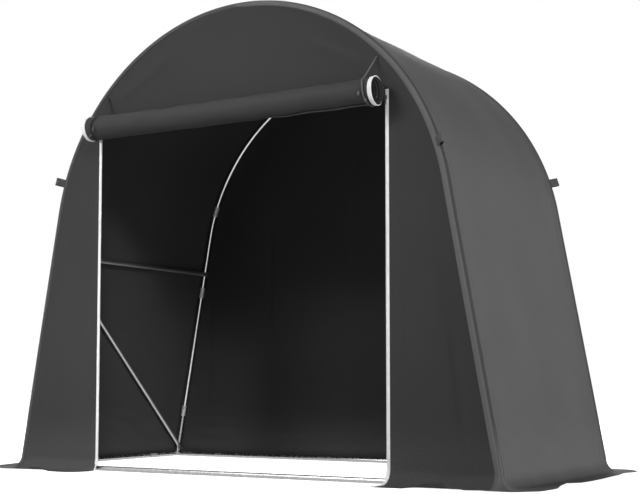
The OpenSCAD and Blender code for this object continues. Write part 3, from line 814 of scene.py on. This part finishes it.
def cover_painted_light(side, angle, s, turn, flat, inset, nz):
    """Masks of one half of the cover: band where a painted highlight lightens it, and a second mask where
    painted shade darkens it.

    The crest and the ridges are eased steps and bells round the bow. The left side, in the shade, has no
    painted highlight, only the painted shade behind the crest and a trace of it over the bow."""
    degrees = np.abs(np.degrees(angle))
    over_bow = angle != 0
    near_ground = ease((s - ARCH_RUN + 0.24) / 0.16)
    # Painted highlight on the crest, a ridge near the ground and a thin line behind the crest
    crest = ease((degrees - CREST_EDGE) / CREST_RAMP) * (1 - 0.55 * turn * ease((78 - degrees) / 14))
    ridge = np.exp(-((degrees - RIDGE_AT) / RIDGE_W) ** 2) * near_ground * over_bow
    line = LINE_GAIN * np.exp(-((inset - LINE_AT) / LINE_W) ** 2) * ~over_bow
    band = (crest + RIDGE_GAIN * ridge + line) * (1 - 0.35 * flat)
    shoulder = np.where(over_bow, ease((SHOULDER_EDGE - degrees) / SHOULDER_RAMP), 1)
    painted_shade = shoulder * (1 - ease((inset - STRIP_EDGE) / STRIP_RAMP)) * (1 - ridge)
    # Painted shade on the roof where it faces up
    roof = ROOF_PAINTED_SHADE * ease((nz - 0.15) / 0.45) * (degrees < CREST_EDGE)
    painted_shade = np.maximum(painted_shade, roof) * (1 - 0.85 * turn)
    if side < 0:
        band = 0 * band
        painted_shade = painted_shade * np.where(over_bow, 0.2, 1)
    # Painted shade on the flap where it turns out along the ground
    flap = FLAP_PAINTED_SHADE * ease((turn - 0.05) / 0.5) * (1 - 0.6 * np.clip(band, 0, 1))
    return band, np.maximum(painted_shade, flap)


def cover_half(side):
    """Points of the cover from the roof's middle to one hem, with the masks of its painted highlight and
    painted shade.

    Each row is the bow's centre plus its normal times the section's height; over the bows the section
    is a quarter circle, between them it dips behind each bow and sags as a parabola. Down the leg the
    normal turns level, and the skirt takes over at its foot."""
    angle, y, tuck = (a[None] for a in cover_section())
    s, turn, flat = (a[:, None] for a in cover_rows())
    x0, z0, nx, nz = arch(s)
    tilt = LEAN * (1 - ease((s - ARCH_RUN + UPRIGHT_FROM) / UPRIGHT_RUN))
    on_leg = s > ARCH_RUN - LEG_RUN
    nx = np.where(on_leg, np.cos(tilt), nx)
    nz = np.where(on_leg, np.sin(tilt), nz)
    out, high = skirt(turn, flat, cover_places(side, angle, y) + 0 * s)
    reach = COVER_OUT + out
    inset = np.minimum(y - FRONT, BACK - y)
    wall = 1 - turn
    dip = STRIP_DIP * ease(inset / STRIP_W) * (0.35 + 0.65 * wall)
    sag = through(s - ARCH_RUN / 2, SAG) * (1 - (y / BACK) ** 2) * wall
    wrinkles = cover_wrinkles(side, s, y, inset) * (0.2 + 0.8 * wall) * (angle == 0)
    height = reach * np.cos(angle) - dip - sag - tuck + wrinkles
    x = x0 + nx * height
    z = np.where(turn > 0, high, z0 + nz * height)
    points = np.stack([side * x, y + reach * np.sin(angle), z], -1)
    return points, *cover_painted_light(side, angle, s, turn, flat, inset, nz)


def blend_roof(right, left, rows=24):
    """Both halves with one middle row: near it each is blended with the other's mirror image."""
    own = ease(np.arange(len(right)) / rows)[:, None, None]
    mirror = np.array([-1, 1, 1])
    right = right * own + (right + left * mirror) / 2 * (1 - own)
    left = left * own + (left + right * mirror) / 2 * (1 - own)
    left[0] = right[0]
    return right, left


right_half, right_painted_highlight, right_painted_shade = cover_half(1)
left_half, left_painted_highlight, left_painted_shade = cover_half(-1)
right_half, left_half = blend_roof(right_half, left_half)
cover_points = np.concatenate([left_half[::-1], right_half[1:]])
cover = grid_piece(
    "cover", cover_points, cut_of(cover_points),
    {"band": np.concatenate([left_painted_highlight[::-1], right_painted_highlight[1:]]),
     "painted_shade": np.concatenate([left_painted_shade[::-1], right_painted_shade[1:]]),
     "dust": dust_near_ground(cover_points)},
    flip=True,
)
thicken(cover, CLOTH, lining=inner_cloth)
dress(cover, cover_cloth, "cover_cloth", "side_cover_left", "side_cover_right", "roof_cover",
      "side_flap_left", "side_flap_right")


# Rolled leaf, with the zip tapes round its ends

# Angle round the roll at which its outer turn starts
ROLL_START = math.radians(-24)
ROLL_STEPS = 44
# Swell of the roll at its ends, how far each tie pinches it, and the ripples beside the ties
END_SWELL = 0.0022
TIE_PINCH = 0.0026
TIE_RIPPLE = 0.0011
# Loose cloth along the roll, in long and in short ripples
SLACK_LONG = 0.0016
SLACK_SHORT = 0.0007
# How far the axis hangs in the middle, stands up at the ends and runs down to the right end
AXIS_SAG = 0.0035
AXIS_UP = 0.0015
AXIS_DOWN = 0.0060
# The leaf's thickness, its top on the wall, and where its outer turn ends at the left and at the right
LEAF_T = 0.0009
LEAF_TOP = DOOR_H + 0.004
LEAF_LEFT = -0.660
LEAF_RIGHT = ROLL_END - 0.0002
# How much further in each turn of the leaf ends than the one outside it, at the left and at the right,
# where the first turns end even
LEAF_LEFT_STEP = 0.004
LEAF_RIGHT_STEP = 0.010
LEAF_EVEN_TURNS = 1.15
# The left and the right tape of the roll: side, inner and outer edge along the roll
ROLL_TAPES = {"left": (-1, 0.655, 0.6685), "right": (1, ROLL_END - ROLL_TAPE_W, ROLL_END)}
ROLL_TAPE_T = 0.0013
# A tape's edge stands proud of the leaf at the front of the roll and drifts back in behind it
TAPE_PROUD = 0.0030
TAPE_DRIFT = 0.0056
# How far the teeth sit in from a tape's edge and drift in behind the roll, and how high over the leaf
ROLL_TEETH_IN = 0.0016
ROLL_TEETH_DRIFT = 1.1 * TAPE_DRIFT
ROLL_TEETH_RISE = 0.0026
ROLL_TEETH = (0.0034, 0.0024, 0.0026)
# Hem of the leaf: its ends along the roll, its turn on the spiral, how far it stands down and out,
# what share of that is left at its left end, and how high it waves
HEM_ENDS = (-0.600, 0.634)
HEM_TURN = 0.212
HEM_DOWN = 0.0085
HEM_OUT = 0.0058
HEM_LEFT_SHARE = 0.15
HEM_WAVE = 0.0012


def roll_points(x, turn, rise):
    """Spiral round the roll's axis at grids of places along it and of turns.

    The radius falls by one pitch a turn. The cloth is gathered a little by its ties, ripples beside them
    and swells at its ends; the axis sags in the middle and runs lower towards the right end."""
    angle = ROLL_START - 2 * math.pi * turn
    beside_tie = np.abs(np.abs(x) - TIE_X)
    swell = END_SWELL * ease((np.abs(x) - 0.50) / 0.13) - TIE_PINCH * np.exp(-(beside_tie / 0.008) ** 2)
    wave = np.cos(2 * math.pi * beside_tie / 0.013) * np.exp(-(beside_tie / 0.022) ** 2)
    swell = swell + TIE_RIPPLE * wave
    slack = SLACK_LONG * ripples(x, angle * 0.03, 0.16, 51)
    slack = slack + SLACK_SHORT * ripples(x, angle * 0.045, 0.05, 52)
    radius = ROLL_R + rise - ROLL_PITCH * turn + swell + slack * ease((ROLL_TURNS - turn) / 1.5)
    droop = AXIS_SAG * np.cos(x / ROLL_END * math.pi / 2) - AXIS_UP
    droop = droop + AXIS_DOWN * np.clip((x / ROLL_END + 1) / 2, 0, 1.1) ** 1.5
    return np.stack([x, ROLL_Y + radius * np.cos(angle), ROLL_Z - droop + radius * np.sin(angle)], -1)


def turn_at(angle):
    """Turn of the spiral, above its start, that lies at an angle round the roll."""
    return (ROLL_START - angle) / (2 * math.pi) + 1


def tape_edge(outer, turn, drift):
    """How far out a tape of the roll reaches: proud at the roll's front, drifting in to its back.

    The drift grows as half of one plus the cosine of the angle round the roll."""
    at_back = (1 + np.cos(ROLL_START - 2 * math.pi * turn)) / 2
    return outer + TAPE_PROUD - drift * at_back


def leaf_points(cols=190, lead_rows=7):
    """The leaf: straight rows from the doorway's top to the roll, then the spiral's turns."""
    turn = np.linspace(0, ROLL_TURNS, ROLL_TURNS * ROLL_STEPS)[:, None]
    left = LEAF_LEFT + LEAF_LEFT_STEP * turn
    right = LEAF_RIGHT - LEAF_RIGHT_STEP * np.clip(turn - LEAF_EVEN_TURNS, 0, None)
    x = left + (right - left) * np.linspace(0, 1, cols)[None]
    roll = roll_points(x, turn + 0 * x, 0)
    lead = np.linspace(0, 1, lead_rows + 1)[:-1, None, None]
    wall_y = FRONT - WALL_OUT + CLOTH / 2
    top = np.stack([x[0], np.full(cols, wall_y), np.full(cols, LEAF_TOP)], -1)
    return np.concatenate([top[None] * (1 - lead) + roll[:1] * lead, roll])


def roll_tape_points(side, inner, outer):
    """One turn of tape round an end of the roll, ribbed along it by a cosine."""
    share = np.linspace(0, 1, 22)[None]
    turn = np.linspace(0.04, 1.08, 60)[:, None]
    x = side * (inner + (tape_edge(outer, turn, TAPE_DRIFT) - inner) * share)
    ribs = 0.0018 + 0.0004 * np.cos(2 * math.pi * share * 4)
    return roll_points(x, turn + 0 * x, ribs)


def roll_teeth_path(side, outer):
    """Line of the teeth round an end of the roll: the tape's edge, a little further in."""
    turn = np.linspace(0.04, 1.02, 400)
    x = side * (tape_edge(outer, turn, ROLL_TEETH_DRIFT) - ROLL_TEETH_IN)
    return roll_points(x, turn, ROLL_TEETH_RISE)


def zip_teeth(name, path, size, *nodes):
    """Row of teeth along a path: one small block every pitch, across it."""
    spots, ahead = spaced(path, TEETH_PITCH)
    across = np.broadcast_to(np.array([1.0, 0, 0]), spots.shape)
    teeth = repeat_block(name, spots, across, ahead, np.cross(across, ahead), size)
    dress(teeth, teeth_white, "zip_tape", *nodes)
    return teeth


def hem_points():
    """Hem of the leaf, standing out under the roll: from the spiral down and out, more to the right."""
    x = np.linspace(*HEM_ENDS, 160)
    high = roll_points(x, HEM_TURN + 0 * x, -0.0010)
    out = HEM_LEFT_SHARE + (1 - HEM_LEFT_SHARE) * ease((x + 0.1) / 0.5)
    wave = HEM_WAVE * ripples(x, 0 * x, 0.11, 53)
    low = high + np.stack([0 * x, out * (wave - HEM_OUT), -HEM_DOWN * out - 0.0005], -1)
    return np.stack([high, high * 0.5 + low * 0.5, low])


roll_shape = leaf_points()
rolled_leaf = grid_piece("rolled_leaf", roll_shape, roll_shape[..., [0, 2]])
thicken(rolled_leaf, LEAF_T, 0)
dress(rolled_leaf, roll_cloth, "panel_cloth", "rolled_door")

# What rolls up with the leaf
tapes = []
for label, (side, inner, outer) in ROLL_TAPES.items():
    tape_shape = roll_tape_points(side, inner, outer)
    tape = grid_piece("rolled_zip_" + label, tape_shape, tape_shape[..., [0, 2]], flip=side < 0)
    thicken(tape, ROLL_TAPE_T, 0)
    dress(tape, zip_white, "zip_tape", "rolled_zips")
    teeth = zip_teeth("rolled_teeth_" + label, roll_teeth_path(side, outer), ROLL_TEETH, "rolled_zips")
    tapes += [tape, teeth]

hem_shape = hem_points()
leaf_hem = grid_piece("leaf_hem", hem_shape, hem_shape[..., [0, 2]])
thicken(leaf_hem, CLOTH, 0)
dress(leaf_hem, roll_cloth, "panel_cloth", "rolled_door")
tapes.append(leaf_hem)


# Zips beside the doorway


def zip_path(side, x, rise, count_up=240, turns=16, flats=12):
    """Line down the front wall and along its skirt at one distance from the middle, off its face.

    Each point is the cloth's own plus the rise times the normal of the line's slope."""
    z = np.linspace(ZIP_HEAD, FLARE_TOP, count_up)
    turn, flat = skirt_rows(turns, flats)
    place = SKIRT_X + side * DOOR_HALF + 0 * turn
    out, high = skirt(turn, flat, place)
    up = WALL_OUT + front_relief(side * x + 0 * z, z)
    low = WALL_OUT + out + front_relief(side * x + 0 * turn, 0 * turn + FLARE_TOP) * (1 - turn)
    y = FRONT - np.r_[up, low]
    z = np.r_[z, high]
    slope = unit(np.stack([np.gradient(y), np.gradient(z)], -1))
    return np.stack([0 * y + side * x, y + slope[:, 1] * rise, z - slope[:, 0] * rise], -1)


for side, label in ((-1, "left"), (1, "right")):
    edges = np.linspace(DOOR_HALF - ZIP_IN, DOOR_HALF + ZIP_OUT, 6)
    shape = np.stack([zip_path(side, x, ZIP_T) for x in edges], 1)
    tape = grid_piece("zip_tape_" + label, shape, cut_of(shape), flip=side > 0)
    thicken(tape, ZIP_T)
    dress(tape, zip_white, "zip_tape", "zip_" + label)
    line = zip_path(side, DOOR_HALF - TEETH_W / 2 - TEETH_IN, TEETH_RISE)
    zip_teeth("zip_teeth_" + label, line, TEETH, "zip_" + label)


# Ties, loops and seams


def ribbon(name, path, width_dir, width, thickness, material, slot, *nodes, lining=None, flip=False):
    """Flat band of webbing along a path: the path plus and minus half the width, thickened."""
    share = np.linspace(-0.5, 0.5, 5)[None, :, None]
    shape = path[:, None] + share * width * width_dir[:, None]
    band = grid_piece(name, shape, cut_of(shape), flip=flip)
    thicken(band, thickness, 0, lining)
    dress(band, material, slot, *nodes)


def toggle(name, centre, along, size, material, slot, rows=14, cols=20):
    """Oval toggle: rings round its length that follow half a circle from pole to pole, stretched to size.

    Its length lies along the direction given, its width as near as can be along X."""
    along = unit(np.array(along, float))
    across = np.array([1.0, 0, 0])
    across = unit(across - along * (across @ along))
    axes = np.stack([along, across, np.cross(along, across)])
    dip = np.linspace(0, math.pi, rows)[:, None]
    ring = np.linspace(0, 2 * math.pi, cols + 1)[None]
    ball = np.stack([np.cos(dip) + 0 * ring, np.sin(dip) * np.cos(ring), np.sin(dip) * np.sin(ring)], -1)
    oval = grid_piece(name, centre + ball * np.array(size) / 2 @ axes, flip=True)
    weld(oval)
    dress(oval, material, slot)


# Each tie hangs from the wall, passes over the roll and slants outwards round its front
TIE_W = 0.0062
TIE_T = 0.0012
TIE_TOP_X = 0.621
TIE_TOP_Y = FRONT - WALL_OUT - 0.0020
TIE_TOP_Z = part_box("roll_ties")[1][2] + 0.016
TIE_RISE = 0.0046
# Place of the tie along the roll at angles round it, in degrees
TIE_SLANT = [(104, 0.606), (180, 0.622), (290, 0.630)]
TIE_SAG = np.array([0, -0.003, -0.004])
# Toggles of each tie: place along the roll, degrees round it, lean outwards, length
TOGGLES = [(0.607, 197, 0.0, 0.019), (0.629, 222, 0.45, 0.024)]
TOGGLE_W = 0.0085
TOGGLE_H = 0.0070
TOGGLE_RISE = 0.0078


def tie_path(side):
    """Line of a tie: sagging from the wall to the roll by a half sine, then round the roll."""
    angle = np.radians(np.linspace(TIE_SLANT[0][0], TIE_SLANT[-1][0], 50))
    around = roll_points(side * through(np.degrees(angle), TIE_SLANT), turn_at(angle), TIE_RISE)
    top = np.array([side * TIE_TOP_X, TIE_TOP_Y, TIE_TOP_Z])
    share = np.linspace(0, 1, 14)[:-1, None]
    hanging = top * (1 - share) + around[0] * share + TIE_SAG * np.sin(share * math.pi)
    return np.concatenate([hanging, around])


for side, label in ((-1, "left"), (1, "right")):
    path = tie_path(side)
    level = np.broadcast_to(np.array([1.0, 0, 0]), path.shape)
    # The left tie and its toggles get darker copies of the right ones' finishes: painted shade at the roll's
    # shaded end
    ribbon("tie_" + label, path, level, TIE_W, TIE_T, tie_web if side > 0 else tie_web_painted_shade, "tie_webbing",
           "roll_ties")
    for number, (x, degrees, lean_out, length) in enumerate(TOGGLES):
        angle = math.radians(degrees)
        centre = roll_points(np.array([side * x]), turn_at(np.array([angle])), TOGGLE_RISE)[0]
        along = (side * lean_out, 0.6 * math.sin(angle), math.cos(angle))
        toggle("toggle_%s_%d" % (label, number + 1), centre, along, (length, TOGGLE_W, TOGGLE_H),
               toggle_grey if side > 0 else thread_dark, "tie_webbing")


# Guy loops: a band out from each bow, at 45 degrees between the bow's plane and the way out to the
# front or back, at an angle up the arc
LOOP_ANGLE = math.radians(18.3)
LOOP_W = 0.032
LOOP_T = 0.0019
LOOP_START = 0.012
LOOP_REACH = 0.044
LOOP_GAP = 0.013


def loop_section(straight=14, round_end=22):
    """Section of a guy loop: out along one side, half a circle round the end and back."""
    turn = np.radians(np.linspace(-90, 90, round_end))
    out = np.linspace(LOOP_START, LOOP_REACH, straight)[:-1]
    side = np.full(straight - 1, LOOP_GAP / 2)
    return (np.r_[out, LOOP_REACH + LOOP_GAP / 2 * np.cos(turn), out[::-1]],
            np.r_[-side, LOOP_GAP / 2 * np.sin(turn), side])


LOOP_OUT, LOOP_ACROSS = loop_section()
for row, row_label in ((-1, "front"), (1, "rear")):
    for side, label in ((-1, "left"), (1, "right")):
        radial = np.array([side * math.cos(LOOP_ANGLE), 0, math.sin(LOOP_ANGLE)])
        tangent = np.array([-side * math.sin(LOOP_ANGLE), 0, math.cos(LOOP_ANGLE)])
        endways = np.array([0, row, 0])
        outwards = (radial + endways) / math.sqrt(2)
        sideways = (radial - endways) / math.sqrt(2)
        base = BOW_R * radial + np.array([0, row * BACK, BOW_Z])
        path = base + LOOP_OUT[:, None] * outwards + LOOP_ACROSS[:, None] * sideways
        # Each loop is lined near black inside: painted shade in its hollow
        ribbon("guy_loop_%s_%s" % (row_label, label), path, np.broadcast_to(tangent, path.shape), LOOP_W,
               LOOP_T, webbing, "loop_webbing", "guy_loops", lining=loop_inside_painted_shade, flip=side * row < 0)


# Seams of the cover: a row of stitches along a column near each bow
SEAM_COLUMN = 17
STITCH_PITCH = 0.0085
STITCH = (0.0058, 0.0011, 0.0009)
STITCH_RISE = 0.0003

for label, column in (("front", SEAM_COLUMN), ("rear", cover_points.shape[1] - 1 - SEAM_COLUMN)):
    line = cover_points[:, column]
    beside = cover_points[:, column + 1] - cover_points[:, column - 1]
    normal = unit(np.cross(np.gradient(line, axis=0), beside))
    spots, ahead, up = spaced(line + normal * STITCH_RISE, STITCH_PITCH, normal)
    up = unit(up)
    seam = repeat_block("seam_stitches_" + label, spots, ahead, unit(np.cross(up, ahead)), up, STITCH)
    dress(seam, thread_dark, "cover_cloth")


# Stage, lights and camera


def seen_rays(tree, path):
    """1 for the rays that show the background: camera, glossy and transmission rays."""
    seen = maths(tree, "MAXIMUM", path.outputs["Is Camera Ray"], path.outputs["Is Glossy Ray"])
    return maths(tree, "MAXIMUM", seen, path.outputs["Is Transmission Ray"])


def make_floor():
    """White floor: lit as a pale ground, raised to white for the camera except in the shadow.

    Metal reflects only that white and not the lamps' light on the floor."""
    corners = [(x * FLOOR_HALF, y * FLOOR_HALF, 0) for x, y in ((-1, -1), (1, -1), (1, 1), (-1, 1))]
    floor = new_piece("floor", corners, [(0, 1, 2, 3)])
    material, tree, shader = start_material("white ground")
    shader.inputs["Roughness"].default_value = 0.9
    shader.inputs["Specular IOR Level"].default_value = 0.0
    path = add(tree, "ShaderNodeLightPath")
    seen = seen_rays(tree, path)
    tree.links.new(maths(tree, "MULTIPLY", seen, SHADOW_WHITE), shader.inputs["Emission Strength"])
    lit = maths(tree, "MULTIPLY_ADD", path.outputs["Is Glossy Ray"], -FLOOR_WHITE, FLOOR_WHITE)
    white = add(tree, "ShaderNodeCombineXYZ", {0: lit, 1: lit, 2: lit})
    tree.links.new(white.outputs[0], shader.inputs["Base Color"])
    shader.inputs["Emission Color"].default_value = (1, 1, 1, 1)
    floor.data.materials.append(material)


def make_world():
    """White to the camera and in reflections, a dim even sky for the light on the object."""
    world = bpy.data.worlds.new("studio")
    world.use_nodes = True
    bpy.context.scene.world = world
    tree = world.node_tree
    seen = seen_rays(tree, add(tree, "ShaderNodeLightPath"))
    sky = tree.nodes["Background"]
    sky.inputs["Color"].default_value = (1, 1, 1, 1)
    tree.links.new(maths(tree, "MULTIPLY_ADD", seen, 1 - SKY_LIGHT, SKY_LIGHT), sky.inputs["Strength"])


def make_lamp(name, place, target, size, power, spread=180):
    """Square area lamp aimed at a point, with its beam's spread in degrees."""
    lamp = bpy.data.lights.new(name, "AREA")
    lamp.energy = power
    lamp.size = size
    lamp.spread = math.radians(spread)
    piece = bpy.data.objects.new(name, lamp)
    bpy.context.scene.collection.objects.link(piece)
    piece.location = place
    aim = np.subtract(target, place)
    piece.rotation_euler = (math.acos(-aim[2] / np.linalg.norm(aim)), 0, math.atan2(-aim[0], aim[1]))


# Strength of the sky's light, and brightness of the floor under it
SKY_LIGHT = 0.17
FLOOR_WHITE = 0.85
# The floor under the shelter, out of the lamps' light, as the camera sees it
SHADOW_WHITE = 0.95
# Half the width of the floor
FLOOR_HALF = 40
make_floor()
make_world()
make_lamp("side light", (7.2, 0.3, 1.3), (0, 0, 0.9), 2.4, 370)
make_lamp("front light", (-2.2, -4.8, 4.3), (0, -0.5, 0.9), 2.2, 252)
make_lamp("door light", (2.4, -3.9, 3.2), (-0.95, 0.15, 0.02), 1.3, 5, 26)
make_lamp("rear light", (-3.2, 6.2, 3.4), (0, 0.5, 0.9), 2.4, 300)

camera_data = bpy.data.cameras.new("camera")
camera = bpy.data.objects.new("camera", camera_data)
bpy.context.scene.collection.objects.link(camera)
camera_data.sensor_width = SENSOR_MM
camera_data.lens = FOCAL_PX / FRAME_W * SENSOR_MM
camera_data.shift_y = SHIFT_PX / FRAME_W
camera.location = CAMERA_AT
camera.rotation_euler = (math.pi / 2 + CAMERA_PITCH, 0, CAMERA_TURN)
bpy.context.scene.camera = camera
bpy.context.scene.view_settings.view_transform = "Standard"
